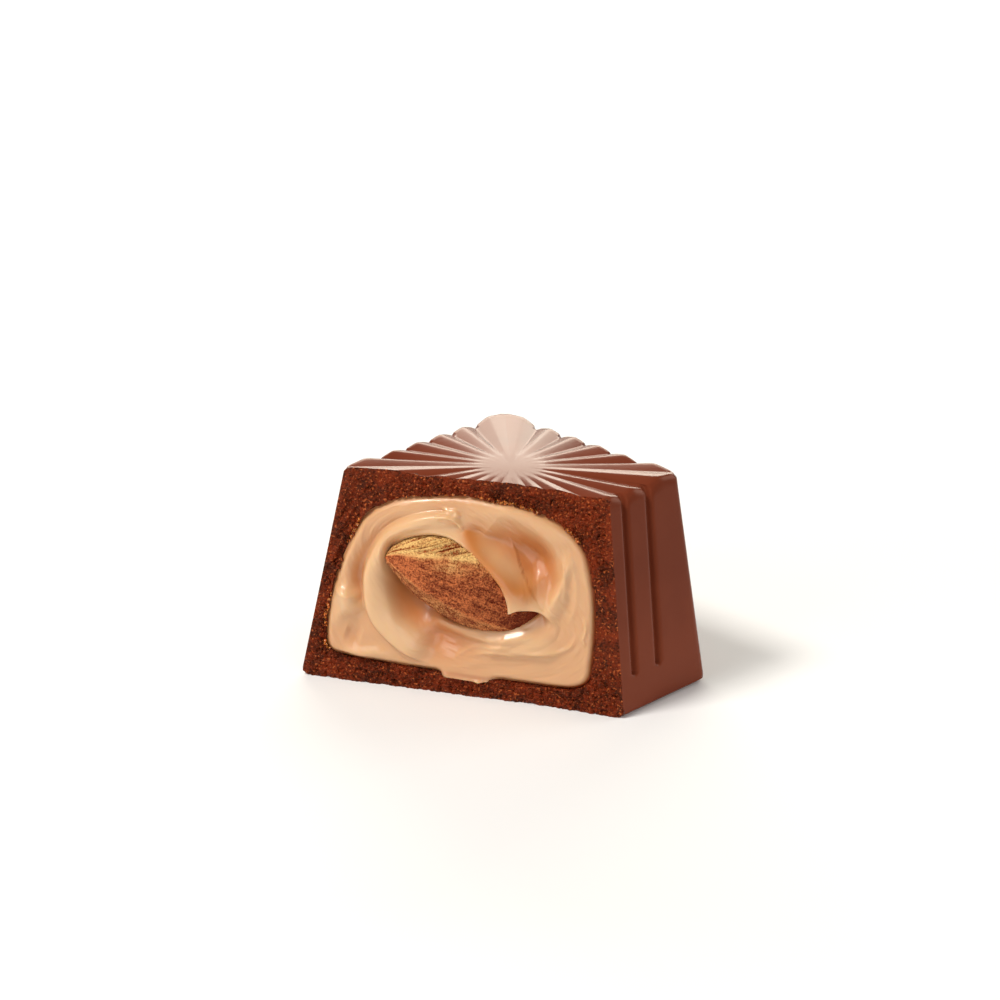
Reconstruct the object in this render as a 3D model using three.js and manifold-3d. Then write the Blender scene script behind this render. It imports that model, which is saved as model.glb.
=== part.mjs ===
// An almond praline, cut open: a fluted square chocolate shell, a swirled cream filling and a whole almond.
// Units are millimetres, +Z is up and the cut faces -Y. The piece rests on its flat base.

import * as THREE from 'three';
import { mergeVertices } from 'three/addons/utils/BufferGeometryUtils.js';
import Module from 'manifold-3d';

const wasm = await Module();
wasm.setup();

// ---------------------------------------------------------------- driving dimensions

// the moulded block
const BASE_HALF = 15.1;           // half the side of the square base
const TOP_HALF = 12;              // half the side of the square top
const TOP_HEIGHT = 23.4;          // height of the small flat disc in the middle of the top
const CORNER_RADIUS = [1.1, 0.8]; // upright corners, at the base and at the top
const BASE_ROUND = 0.8;           // rounding where the sides meet the base
const RIM_ROUND = 0.5;            // rounding where the top meets the sides

// the sunburst of flutes on the top
const DISC_RADIUS = 2.9;
const VALLEY_SLOPE = [0.075, 0.075, 0.075, 0.02]; // fall of the valleys for each millimetre outwards
const CREST_SLOPE = [0.03, 0.03, 0.01]; // the same for the crests, both from a side's middle to its corner
const FLUTE_CREST = 1.4;          // power that rounds the crest between two sharp valleys

// the narrow grooves that run down from every valley but the corner ones
const GROOVE_AT_TOP = [0, 3.5, 7.15];
const GROOVE_AT_FOOT = [0, 3.7, 7.4];
const GROOVE_FOOT = 3.8;          // height at which the grooves end
const GROOVE_DEPTH = 0.65;
const GROOVE_SECTION = [
  [-0.6, 0], [-0.42, 0.12], [-0.2, 0.85], [0, 1], [0.2, 0.85], [0.42, 0.12], [0.6, 0],
];

// the cut through the block
const BLOCK_TURN = THREE.MathUtils.degToRad(-29.6);
const CUT_DISTANCE = 5.54;        // from the middle of the base to the foot of the cut
const CUT_LEAN = 0.047;           // how far the cut leans back for each millimetre of height
const CUT_CURL = [0.45, 5, 14];   // how far its right end curls forward, and between which places
const CUT_ACROSS = [-22, 16];     // a little more than the block's section at the cut
const CUT_UP = [-0.6, 24.6];
const CRUMB_CELL = 0.7;           // size of the facets of the broken chocolate
const CRUMB_HEIGHT = 0.13;
const CRUMB_SIZES = [0.9, 0.45];  // of the coarse and of the fine crumbs
const KNIFE_MARK = [0.55, 2.6];   // width and length of a mark left by the knife
const KNIFE_SLANT = Math.PI / 6;  // how far the marks lean to the right of upright

// the filling
const WALL_BEHIND = 2.4;          // shell left behind the filling
const SEAT_GAP = 0.25;            // clearance between shell, filling and almond
const FOLD_ROOM = 3;              // how far the hollow runs out of the cut, for the folds that stand proud

// the almond
const ALMOND_LENGTH = 17.6;
const ALMOND_WIDTH = 9.4;
const ALMOND_THICKNESS = 6.6;
const ALMOND_BOW = 1.2;           // how far its middle stands above the line from end to end
const ALMOND_RIDGES = [[47, 20, 0.1], [118, 16, 0.05]];    // direction, spread and height round the girth
const ALMOND_MIDDLE = new THREE.Vector3(-3.35, -1.2, 11.2); // along the cut, out of the cut, up
const ALMOND_TILT = THREE.MathUtils.degToRad(-19);         // the blunt end hangs down
const ALMOND_SINK = THREE.MathUtils.degToRad(10);          // the blunt end lies deeper
const ALMOND_ROLL = THREE.MathUtils.degToRad(6);           // the broad side looks a little down

// ---------------------------------------------------------------- small helpers

const lerp = THREE.MathUtils.lerp;
const smooth = (from, to, value) => THREE.MathUtils.smoothstep(value, from, to);

function meshSolid(positions, triangles) {
  return new wasm.Manifold(new wasm.Mesh({
    numProp: 3,
    vertProperties: new Float32Array(positions),
    triVerts: new Uint32Array(triangles),
  }));
}

function solidOf(geometry) {
  const bare = geometry.clone();
  bare.deleteAttribute('normal');
  bare.deleteAttribute('uv');
  const merged = mergeVertices(bare, 1e-4);
  return meshSolid(merged.attributes.position.array, merged.index.array);
}

function geometryOf(solid) {
  const { vertProperties, triVerts } = solid.getMesh();
  const geometry = new THREE.BufferGeometry();
  geometry.setAttribute('position', new THREE.BufferAttribute(new Float32Array(vertProperties), 3));
  geometry.setIndex(new THREE.BufferAttribute(new Uint32Array(triVerts), 1));
  geometry.computeVertexNormals();
  return geometry;
}

// A repeatable random number for a lattice point, and smooth noise between -1 and 1 made from it.
function lattice(i, j, seed) {
  const value = Math.sin(i * 127.1 + j * 311.7 + seed * 74.7) * 43758.5453;
  return value - Math.floor(value);
}

function noise(x, z, seed) {
  const i = Math.floor(x);
  const j = Math.floor(z);
  const a = smooth(0, 1, x - i);
  const b = smooth(0, 1, z - j);
  const low = lerp(lattice(i, j, seed), lattice(i + 1, j, seed), a);
  const high = lerp(lattice(i, j + 1, seed), lattice(i + 1, j + 1, seed), a);
  return 2 * lerp(low, high, b) - 1;
}

// The larger of two heights, with the crease between them rounded over a height k.
function blendMax(a, b, k) {
  const near = Math.max(k - Math.abs(a - b), 0) / k;
  return Math.max(a, b) + near * near * k / 4;
}

// ---------------------------------------------------------------- the moulded block

// Columns run down the block, from the disc on the top, over the rim and down a side to the base.
// Each gives its place across the side at any height, and how much of the groove's depth it has.
function sideColumns() {
  const groove = (index, sign) => GROOVE_SECTION.map(([offset, share]) => ({
    across: (z) => {
      const t = (TOP_HEIGHT - z) / (TOP_HEIGHT - GROOVE_FOOT);
      return sign * lerp(GROOVE_AT_TOP[index], GROOVE_AT_FOOT[index], t) + offset;
    },
    share,
  }));
  const between = (left, right, count) => Array.from({ length: count }, (_, n) => ({
    across: (z) => lerp(left.across(z), right.across(z), (n + 1) / (count + 1)),
    share: 0,
  }));
  const corner = (sign) => [0, 0.5].map((t) => ({
    across: (z) => sign * (half(z) - cornerRadius(z) * (1 - Math.sin(t * Math.PI / 4))),
    into: (z) => cornerRadius(z) * (1 - Math.cos(t * Math.PI / 4)),
    share: 0,
  }));
  const diagonal = {
    across: (z) => -(half(z) - cornerRadius(z) * (1 - Math.SQRT1_2)),
    into: (z) => cornerRadius(z) * (1 - Math.SQRT1_2),
    share: 0,
  };
  const groups = [
    [diagonal, ...corner(-1).reverse()],
    groove(2, -1), groove(1, -1), groove(0, 1), groove(1, 1), groove(2, 1),
    corner(1),
  ];
  const fills = [4, 2, 2, 2, 2, 4];
  return groups.flatMap((group, n) => {
    if (n === groups.length - 1) return group;
    return [...group, ...between(group.at(-1), groups[n + 1][0], fills[n])];
  });
}

function half(z) {
  return lerp(BASE_HALF, TOP_HALF, z / TOP_HEIGHT);
}

function cornerRadius(z) {
  return lerp(CORNER_RADIUS[0], CORNER_RADIUS[1], z / TOP_HEIGHT);
}

// Height of the top at a distance from the middle and a direction, 0 degrees being a side's middle.
const VALLEYS = [...GROOVE_AT_TOP.map((across) => Math.atan2(across, TOP_HALF)), Math.PI / 4];

function topHeight(distance, direction) {
  const angle = Math.min(Math.abs(direction), Math.PI / 4);
  const lobe = Math.max(VALLEYS.findIndex((valley) => angle <= valley), 1);
  const place = (angle - VALLEYS[lobe - 1]) / (VALLEYS[lobe] - VALLEYS[lobe - 1]);
  const valley = VALLEY_SLOPE[place < 0.5 ? lobe - 1 : lobe];
  const slope = lerp(CREST_SLOPE[lobe - 1], valley, Math.abs(2 * place - 1) ** FLUTE_CREST);
  return TOP_HEIGHT - slope * Math.max(distance - DISC_RADIUS, 0);
}

// One column's points, as [out from the middle, across the side, height], from the disc to the base.
function columnPoints(column) {
  const place = (z, inset) => [half(z) - (column.into?.(z) ?? 0) - inset, column.across(z)];
  const inset = GROOVE_DEPTH * column.share;
  const [rimOut, rimAcross] = place(TOP_HEIGHT, inset);
  const direction = Math.atan2(rimAcross, rimOut);
  const rim = Math.hypot(rimOut, rimAcross);
  const points = [];
  const onRay = (distance, height) => {
    points.push([Math.cos(direction) * distance, Math.sin(direction) * distance, height]);
  };
  for (const t of [0, 0.18, 0.45, 0.75, 1]) {
    const distance = lerp(DISC_RADIUS, rim - RIM_ROUND, t);
    onRay(distance, topHeight(distance, direction));
  }
  const edge = topHeight(rim, direction);
  onRay(rim - 0.3 * RIM_ROUND, edge - 0.3 * RIM_ROUND);
  points.push([...place(edge - RIM_ROUND, inset), edge - RIM_ROUND]);
  for (const [lift, share] of [[9, 1], [0.7, 1], [0.3, 0.8], [0, 0]]) {
    const z = GROOVE_FOOT + lift;
    points.push([...place(z, inset * share), z]);
  }
  for (const [rise, back] of [[1, 0], [0.3, 0.3], [0, 1]]) {
    points.push([...place(0, BASE_ROUND * back * 0.8), BASE_ROUND * rise]);
  }
  return points;
}

function blockGeometry() {
  const columns = sideColumns();
  const positions = [0, 0, TOP_HEIGHT, 0, 0, 0];
  const triangles = [];
  let rows = 0;
  for (let side = 0; side < 4; side += 1) {
    const turn = side * Math.PI / 2 + BLOCK_TURN;
    for (const column of columns) {
      const points = columnPoints(column);
      rows = points.length;
      for (const [out, across, z] of points) {
        positions.push(out * Math.cos(turn) - across * Math.sin(turn));
        positions.push(out * Math.sin(turn) + across * Math.cos(turn));
        positions.push(z);
      }
    }
  }
  const total = 4 * columns.length;
  const vertex = (column, row) => 2 + (column % total) * rows + row;
  for (let c = 0; c < total; c += 1) {
    triangles.push(0, vertex(c, 0), vertex(c + 1, 0));
    triangles.push(1, vertex(c + 1, rows - 1), vertex(c, rows - 1));
    for (let r = 0; r < rows - 1; r += 1) {
      triangles.push(vertex(c, r), vertex(c, r + 1), vertex(c + 1, r + 1));
      triangles.push(vertex(c, r), vertex(c + 1, r + 1), vertex(c + 1, r));
    }
  }
  return { positions, triangles };
}

// ---------------------------------------------------------------- surfaces in the cut

// Depth of the cut at a place; heights out of the cut are measured towards -Y from here.
function cutDepth(x, z) {
  const [curl, from, to] = CUT_CURL;
  return -CUT_DISTANCE + CUT_LEAN * z - curl * smooth(from, to, x);
}

// Everything in front of a height map over the cut, as a solid to take away.
function frontOf(height, [left, right], [low, high], cell) {
  const across = Math.round((right - left) / cell);
  const up = Math.round((high - low) / cell);
  const positions = [];
  const triangles = [];
  const vertex = (i, j, far) => 2 * (j * (across + 1) + i) + far;
  for (let j = 0; j <= up; j += 1) {
    for (let i = 0; i <= across; i += 1) {
      const x = lerp(left, right, i / across);
      const z = lerp(low, high, j / up);
      positions.push(x, cutDepth(x, z) - height(x, z), z, x, -2 * BASE_HALF, z);
    }
  }
  const quad = (a, b, c, d) => triangles.push(a, b, c, a, c, d);
  for (let j = 0; j < up; j += 1) {
    for (let i = 0; i < across; i += 1) {
      quad(vertex(i, j, 0), vertex(i, j + 1, 0), vertex(i + 1, j + 1, 0), vertex(i + 1, j, 0));
      quad(vertex(i, j, 1), vertex(i + 1, j, 1), vertex(i + 1, j + 1, 1), vertex(i, j + 1, 1));
    }
  }
  for (let i = 0; i < across; i += 1) {
    quad(vertex(i, 0, 0), vertex(i + 1, 0, 0), vertex(i + 1, 0, 1), vertex(i, 0, 1));
    quad(vertex(i, up, 1), vertex(i + 1, up, 1), vertex(i + 1, up, 0), vertex(i, up, 0));
  }
  for (let j = 0; j < up; j += 1) {
    quad(vertex(0, j, 1), vertex(0, j + 1, 1), vertex(0, j + 1, 0), vertex(0, j, 0));
    quad(vertex(across, j, 0), vertex(across, j + 1, 0), vertex(across, j + 1, 1), vertex(across, j, 1));
  }
  return meshSolid(positions, triangles);
}

// The broken face of the chocolate: crumbs all over, slanting knife marks towards the upper left,
// and a smoother stretch half-way up the right wall.
function crumbHeight(x, z) {
  const [coarse, fine] = CRUMB_SIZES;
  const crumbs = 0.6 * noise(x / coarse, z / coarse, 1) + 0.4 * noise(x / fine, z / fine, 2);
  const acrossMark = x * Math.cos(KNIFE_SLANT) - z * Math.sin(KNIFE_SLANT);
  const alongMark = x * Math.sin(KNIFE_SLANT) + z * Math.cos(KNIFE_SLANT);
  const marks = noise(acrossMark / KNIFE_MARK[0], alongMark / KNIFE_MARK[1], 3);
  const marked = smooth(-10, -14, x) * smooth(9, 14, z);
  const smoothed = smooth(9.5, 10.5, x) * smooth(4, 6, z) * smooth(15, 13, z);
  return CRUMB_HEIGHT * (1 - 0.7 * smoothed) * lerp(crumbs, marks, 0.7 * marked);
}

// ---------------------------------------------------------------- the hollow in the shell

// Outline of the filling where it meets the cut: a low flat bottom, a high round crown.
function fillingOutline(gap) {
  const shape = new THREE.Shape();
  shape.moveTo(-8.5, 2.3);
  shape.lineTo(6.0, 2.1);
  shape.bezierCurveTo(8.6, 2.1, 10.1, 2.5, 10.3, 4.4);
  shape.bezierCurveTo(10.6, 8.0, 10.6, 12.6, 9.2, 16.6);
  shape.bezierCurveTo(7.6, 20.0, 3.5, 21.4, -2.5, 21.4);
  shape.bezierCurveTo(-7.0, 21.4, -12.3, 20.6, -14.2, 17.8);
  shape.bezierCurveTo(-15.6, 15.0, -17.6, 10.5, -17.7, 5.0);
  shape.bezierCurveTo(-17.7, 3.4, -17.3, 2.8, -16.0, 2.75);
  shape.quadraticCurveTo(-12.0, 2.4, -8.5, 2.3);
  const points = shape.getPoints(9).slice(0, -1);
  return points.map((point, n) => {
    const before = points[(n + points.length - 1) % points.length];
    const after = points[(n + 1) % points.length];
    const along = new THREE.Vector2().subVectors(after, before).normalize();
    return new THREE.Vector2(point.x - along.y * gap, point.y + along.x * gap);
  });
}

// The hollow stands straight out of the cut in front, and runs back along the block's sides to the
// wall behind it.
function hollow(gap) {
  const outline = fillingOutline(gap);
  const [alongX, alongY] = [-Math.sin(BLOCK_TURN), Math.cos(BLOCK_TURN)];
  const positions = [];
  for (const { x, y: z } of outline) {
    const depth = cutDepth(x, z);
    const run = half(z) - WALL_BEHIND - gap - (x * alongX + depth * alongY);
    positions.push(x, depth - FOLD_ROOM, z);
    positions.push(x, depth, z);
    positions.push(x + run * alongX, depth + run * alongY, z);
  }
  const triangles = [];
  for (let n = 0; n < outline.length; n += 1) {
    for (const row of [0, 1]) {
      const here = 3 * n + row;
      const next = 3 * ((n + 1) % outline.length) + row;
      triangles.push(here, next + 1, next, here, here + 1, next + 1);
    }
  }
  for (const [a, b, c] of THREE.ShapeUtils.triangulateShape(outline, [])) {
    triangles.push(3 * a, 3 * b, 3 * c, 3 * a + 2, 3 * c + 2, 3 * b + 2);
  }
  return meshSolid(positions, triangles);
}

// ---------------------------------------------------------------- the almond

// The girth along the almond, as a share of the widest: a point at one end, the other blunt.
function almondGirth(t) {
  const swell = (place) => place ** 0.66 * (1 - place) ** 0.5;
  return swell(t) / swell(0.66 / 1.16);
}

// How far the middle of the girth stands above the line from end to end, more so near the point.
function almondBow(t) {
  return ALMOND_BOW * (1.2 - t) * Math.sqrt(almondGirth(t));
}

// How far the almond's front, grown all round, stands out of the cut at a place, or nothing beside it.
function almondFront(x, z, grow) {
  const dx = x - ALMOND_MIDDLE.x;
  const dz = z - ALMOND_MIDDLE.z;
  const along = dx * Math.cos(ALMOND_TILT) + dz * Math.sin(ALMOND_TILT);
  const t = 0.5 + along / (ALMOND_LENGTH * Math.cos(ALMOND_SINK) + 2 * grow);
  if (t <= 0 || t >= 1) return -Infinity;
  const girth = almondGirth(t);
  const across = dz * Math.cos(ALMOND_TILT) - dx * Math.sin(ALMOND_TILT) - almondBow(t);
  const share = 1 - (across / (girth * ALMOND_WIDTH / 2 + grow)) ** 2;
  if (share <= 0) return -Infinity;
  const middle = ALMOND_MIDDLE.y - along * Math.tan(ALMOND_SINK);
  return middle + (girth * ALMOND_THICKNESS / 2 + grow) * Math.sqrt(share);
}

// A long egg with a point at one end, a flat oval across with two blunt ridges along its front.
function almondGeometry(grow) {
  const along = 22;
  const around = 40;
  const length = ALMOND_LENGTH + 2 * grow;
  const positions = [-length / 2, 0, 0, length / 2, 0, 0];
  for (let i = 1; i < along; i += 1) {
    const t = 0.5 - 0.5 * Math.cos(Math.PI * i / along);
    const girth = almondGirth(t);
    for (let j = 0; j < around; j += 1) {
      const degrees = 360 * j / around;
      const angle = THREE.MathUtils.degToRad(degrees);
      const shoulder = ALMOND_RIDGES.reduce(
        (sum, [at, spread, height]) => sum + height * Math.exp(-(((degrees - at) / spread) ** 2)), 1);
      const width = girth * shoulder * ALMOND_WIDTH / 2 + grow;
      const thickness = girth * shoulder * ALMOND_THICKNESS / 2 + grow;
      const up = width * Math.cos(angle) + almondBow(t);
      positions.push((t - 0.5) * length, -thickness * Math.sin(angle), up);
    }
  }
  const triangles = [];
  const vertex = (i, j) => 2 + (i - 1) * around + j % around;
  for (let j = 0; j < around; j += 1) {
    triangles.push(0, vertex(1, j + 1), vertex(1, j));
    triangles.push(1, vertex(along - 1, j), vertex(along - 1, j + 1));
    for (let i = 1; i < along - 1; i += 1) {
      triangles.push(vertex(i, j), vertex(i, j + 1), vertex(i + 1, j + 1));
      triangles.push(vertex(i, j), vertex(i + 1, j + 1), vertex(i + 1, j));
    }
  }
  const geometry = new THREE.BufferGeometry();
  geometry.setAttribute('position', new THREE.Float32BufferAttribute(positions, 3));
  geometry.setIndex(triangles);
  geometry.rotateX(ALMOND_ROLL);
  geometry.rotateZ(ALMOND_SINK);
  geometry.rotateY(-ALMOND_TILT);
  const { x, y: out, z } = ALMOND_MIDDLE;
  geometry.translate(x, cutDepth(x, z) - out, z);
  geometry.computeVertexNormals();
  return geometry;
}

// ---------------------------------------------------------------- the swirl of the filling

// A lip of cream along a path: highest on the path, falling gently on its left and steeply on its
// right. Widths are how far each side takes to fall, and the lip dies away towards its two ends.
function lip({ path, crest, inner, innerDrop, outer, fade }) {
  const curve = new THREE.CatmullRomCurve3(path.map(([x, z]) => new THREE.Vector3(x, z, 0)));
  const points = curve.getPoints(48);
  return (x, z) => {
    let nearest = Infinity;
    let side = 1;
    let along = 0;
    for (let n = 0; n < points.length - 1; n += 1) {
      const start = points[n];
      const dx = points[n + 1].x - start.x;
      const dz = points[n + 1].y - start.y;
      const t = THREE.MathUtils.clamp(
        ((x - start.x) * dx + (z - start.y) * dz) / (dx * dx + dz * dz), 0, 1);
      const away = Math.hypot(x - start.x - t * dx, z - start.y - t * dz);
      if (away < nearest) {
        nearest = away;
        side = Math.sign(dx * (z - start.y) - dz * (x - start.x));
        along = (n + t) / (points.length - 1);
      }
    }
    const ends = 1 - smooth(0, fade[0], along) + smooth(1 - fade[1], 1, along);
    const width = side > 0 ? inner : outer;
    const drop = side > 0 ? innerDrop : 4;
    const height = lerp(crest[0], crest[1], along);
    return height - 3 * ends - drop * (1 - Math.exp(-((nearest / width) ** 2)));
  };
}

const LIPS = [
  // the broad ribbon, from the top round the left to the bottom
  lip({
    path: [[-0.6, 20], [-4.2, 19.4], [-8, 18.7], [-11.2, 16.9], [-12.9, 14.0], [-13.4, 10.6],
      [-12.4, 7.2], [-9.8, 4.7], [-6.4, 3.1], [-2.4, 1.9]],
    crest: [1.0, 0.9], inner: 3.4, innerDrop: 2.6, outer: 1.0, fade: [0.15, 0.05],
  }),
  // the lip under the almond, rising into the band on the right
  lip({
    path: [[-3.6, 7.0], [-0.4, 6.8], [2.8, 7.6], [5.2, 9.4], [6.5, 12], [7.2, 15.2], [6.8, 18.2]],
    crest: [0.1, 0.9], inner: 1.4, innerDrop: 3.0, outer: 2.2, fade: [0.15, 0.15],
  }),
  // the low fold under it
  lip({
    path: [[-2.6, 4.9], [0.8, 5.6], [4.0, 5.9], [7.6, 6.8], [9.4, 9.0]],
    crest: [0.5, 0.7], inner: 1.8, innerDrop: 0.8, outer: 1.6, fade: [0.2, 0.2],
  }),
];

// An oval bowl pressed into the cream.
function bowl({ middle: [middleX, middleZ], length, width, tilt, depth }) {
  return (x, z) => {
    const dx = x - middleX;
    const dz = z - middleZ;
    const along = (dx * Math.cos(tilt) + dz * Math.sin(tilt)) / length;
    const across = (dz * Math.cos(tilt) - dx * Math.sin(tilt)) / width;
    return depth * (1 - smooth(0.25, 1, Math.hypot(along, across)));
  };
}

const CREAM_LEVEL = 0.2;   // how far the plain cream stands out of the cut
const BOWLS = [
  // the channel between the ribbon and the almond
  bowl({ middle: [-8, 8.8], length: 8.5, width: 5.2, tilt: -0.5, depth: 1.8 }),
  // the hollow to the right of the tongue
  bowl({ middle: [3.6, 14.4], length: 3.4, width: 4.8, tilt: 0.35, depth: 1.5 }),
];
const ALMOND_COVER = 0.9;  // how far the cream over the almond stands off its skin
const EDGE_ROUND = [0.9, 0.7]; // how far in and how deep the cream rounds off at the shell

// Distance from a point to the filling's outline.
const OUTLINE = fillingOutline(0);

function toOutline(x, z) {
  let nearest = Infinity;
  OUTLINE.forEach((start, n) => {
    const end = OUTLINE[(n + 1) % OUTLINE.length];
    const dx = end.x - start.x;
    const dz = end.y - start.y;
    const t = THREE.MathUtils.clamp(
      ((x - start.x) * dx + (z - start.y) * dz) / (dx * dx + dz * dz), 0, 1);
    nearest = Math.min(nearest, Math.hypot(x - start.x - t * dx, z - start.y - t * dz));
  });
  return nearest;
}

function creamHeight(x, z) {
  const dip = BOWLS.reduce((sum, hollowed) => sum + hollowed(x, z), 0);
  let height = LIPS.reduce((top, ridge) => blendMax(top, ridge(x, z), 0.5), CREAM_LEVEL - dip);
  if (x > ALMOND_MIDDLE.x) height = Math.max(height, almondFront(x, z, ALMOND_COVER));
  const spill = smooth(-6.2, -4.8, x) * smooth(1.2, -0.6, x) * smooth(4.5, 2.5, z);
  const edge = 1 - smooth(0, EDGE_ROUND[0], toOutline(x, z));
  return height - EDGE_ROUND[1] * edge * edge * (1 - spill);
}

// The mouth through which the almond shows. It starts at the point of the tongue that hangs over the
// almond and runs up the tongue, round the almond and back, as [along the cut, up, out of the cut,
// direction in degrees of the place on the filling's outline that the cream runs out to].
const MOUTH = [
  [1.6, 10.0, 1.6, 16], [1.45, 11.35, 1.9, 26], [0.8, 12.85, 2.0, 37], [-0.25, 14.1, 2.0, 48],
  [-1.5, 15.15, 1.75, 60], [-2.95, 16.4, 1.4, 74], [-4.55, 17.3, 1.0, 90], [-6.25, 17.7, 0.9, 106],
  [-7.9, 17.4, 0.8, 120], [-9.4, 16.7, 0.5, 134], [-10.3, 15.7, 0.0, 146], [-10.3, 14.6, -0.8, 158],
  [-9.6, 13.0, -1.8, 172], [-8.5, 11.2, -2.4, 188], [-7.3, 9.9, -2.4, 202], [-6.4, 8.8, -1.7, 216],
  [-5.4, 7.95, -0.4, 230], [-3.7, 7.6, 0.1, 246], [-2.0, 7.5, 0.3, 262], [-0.35, 7.55, 0.3, 276],
  [1.3, 7.9, 0.2, 290], [2.85, 8.55, 0.0, 306], [4.1, 9.4, -0.2, 324], [4.45, 10.0, -0.5, 338],
  [3.85, 10.45, -0.2, 346], [2.85, 10.55, 0.5, 354], [2.0, 10.3, 1.1, 362], [1.6, 10.0, 1.6, 376],
];
const MOUTH_MIDDLE = new THREE.Vector2(-3.5, 11.3);
const MOUTH_ROUND = 0.35;   // how far its edge rolls over
const MOUTH_DEPTH = 3.6;    // depth of the pocket behind it
const POCKET_TAPER = 0.2;   // how much the pocket narrows towards its bottom
const AROUND = 88;          // points on a ring of the cream
const RING_SHARES = [       // where the rings lie, from the mouth (0) to the filling's outline (1)
  0, 0.03, 0.08, 0.15, 0.23, 0.31, 0.39, 0.47, 0.55, 0.63, 0.71, 0.79, 0.86, 0.92, 0.97, 1.03, 1.15, 1.5,
];

// A smooth curve through rows of numbers, each column carried along with the others.
function through(rows, t) {
  const place = t * (rows.length - 1);
  const first = Math.min(Math.floor(place), rows.length - 2);
  const u = place - first;
  const row = (n) => rows[THREE.MathUtils.clamp(n, 0, rows.length - 1)];
  return row(first).map((b, k) => {
    const [a, c, d] = [row(first - 1)[k], row(first + 1)[k], row(first + 2)[k]];
    return b + 0.5 * u * (c - a + u * (2 * a - 5 * b + 4 * c - d + u * (3 * (b - c) + d - a)));
  });
}

// The place on the filling's outline in a direction from the middle of the mouth.
function outlinePoint(angle) {
  const ray = new THREE.Vector2(Math.cos(angle), Math.sin(angle));
  const corners = OUTLINE.map((point) => point.clone().sub(MOUTH_MIDDLE));
  for (let n = 0; n < corners.length; n += 1) {
    const start = corners[n];
    const end = corners[(n + 1) % corners.length];
    const before = ray.cross(start);
    const after = ray.cross(end);
    if (before <= 0 && after > 0 && ray.dot(start) > 0) {
      return start.clone().lerp(end, before / (before - after)).add(MOUTH_MIDDLE);
    }
  }
  throw new Error('the outline is open');
}

// Everything in front of the cream, and the pocket behind its mouth: rings from the bottom of the
// pocket, over the mouth's edge and out past the filling's outline, closed far in front.
function frontOfCream() {
  const rings = Array.from({ length: RING_SHARES.length + 2 }, () => []);
  for (let n = 0; n < AROUND; n += 1) {
    const [mouthX, mouthZ, mouthOut, degrees] = through(MOUTH, n / AROUND);
    const rim = outlinePoint(THREE.MathUtils.degToRad(degrees));
    const inner = new THREE.Vector2(mouthX, mouthZ).lerp(MOUTH_MIDDLE, POCKET_TAPER);
    rings[0].push([inner.x, cutDepth(inner.x, inner.y) + MOUTH_DEPTH, inner.y]);
    RING_SHARES.forEach((share, k) => {
      const x = lerp(mouthX, rim.x, share);
      const z = lerp(mouthZ, rim.y, share);
      const rolled = MOUTH_ROUND * Math.max(1 - share / 0.07, 0) ** 2;
      const height = lerp(mouthOut, creamHeight(x, z), smooth(0.02, 0.35, share)) - rolled;
      rings[k + 1].push([x, cutDepth(x, z) - height, z]);
    });
    const [x, , z] = rings.at(-2)[n];
    rings.at(-1).push([x, -2 * BASE_HALF, z]);
  }
  const triangles = [];
  const vertex = (ring, n) => ring * AROUND + n % AROUND;
  for (let ring = 0; ring < rings.length - 1; ring += 1) {
    for (let n = 0; n < AROUND; n += 1) {
      triangles.push(vertex(ring, n), vertex(ring + 1, n + 1), vertex(ring + 1, n));
      triangles.push(vertex(ring, n), vertex(ring, n + 1), vertex(ring + 1, n + 1));
    }
  }
  const lid = (ring) => {
    const flat = rings[ring].map(([x, , z]) => new THREE.Vector2(x, z));
    return THREE.ShapeUtils.triangulateShape(flat, []);
  };
  for (const [a, b, c] of lid(0)) {
    triangles.push(a, c, b);
  }
  for (const [a, b, c] of lid(rings.length - 1)) {
    triangles.push(vertex(rings.length - 1, a), vertex(rings.length - 1, b), vertex(rings.length - 1, c));
  }
  return meshSolid(rings.flat(2), triangles);
}

// The cream that has run over the cut edge of the shell's floor, a little clear of the crumbs.
function spillSolid() {
  const shape = new THREE.Shape();
  shape.moveTo(-5.7, 3.6);
  shape.quadraticCurveTo(-5.6, 2.0, -4.4, 1.75);
  shape.quadraticCurveTo(-2.4, 1.35, -0.9, 1.55);
  shape.quadraticCurveTo(0.3, 1.8, 0.9, 3.6);
  shape.closePath();
  const geometry = new THREE.ExtrudeGeometry(shape, { depth: 4, bevelEnabled: false, curveSegments: 6 });
  geometry.rotateX(Math.PI / 2);
  geometry.translate(0, -CUT_DISTANCE - 0.4 * CRUMB_HEIGHT - CRUMB_HEIGHT, 0);
  return solidOf(geometry);
}

// ---------------------------------------------------------------- the three pieces

const block = blockGeometry();
const shell = meshSolid(block.positions, block.triangles)
  .subtract(frontOf(crumbHeight, CUT_ACROSS, CUT_UP, CRUMB_CELL))
  .subtract(hollow(0));

const filling = hollow(SEAT_GAP)
  .add(spillSolid())
  .subtract(frontOfCream())
  .subtract(solidOf(almondGeometry(SEAT_GAP)));

function piece(name, geometry, color, roughness) {
  const material = new THREE.MeshStandardMaterial({ color, roughness, metalness: 0 });
  const mesh = new THREE.Mesh(geometry, material);
  mesh.name = name;
  return mesh;
}

const praline = new THREE.Group();
praline.add(piece('shell', geometryOf(shell), 0x6d3420, 0.42));
praline.add(piece('filling', geometryOf(filling), 0xdfae7b, 0.35));
praline.add(piece('almond', almondGeometry(0), 0x9a5a30, 0.7));

// The origin is under the middle of the piece, on the surface it rests on.
const middle = new THREE.Box3().setFromObject(praline).getCenter(new THREE.Vector3());
praline.position.set(-middle.x, -middle.y, 0);

export default praline;
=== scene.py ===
import math

import bpy
import numpy as np
from mathutils import Matrix, Vector


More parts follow.
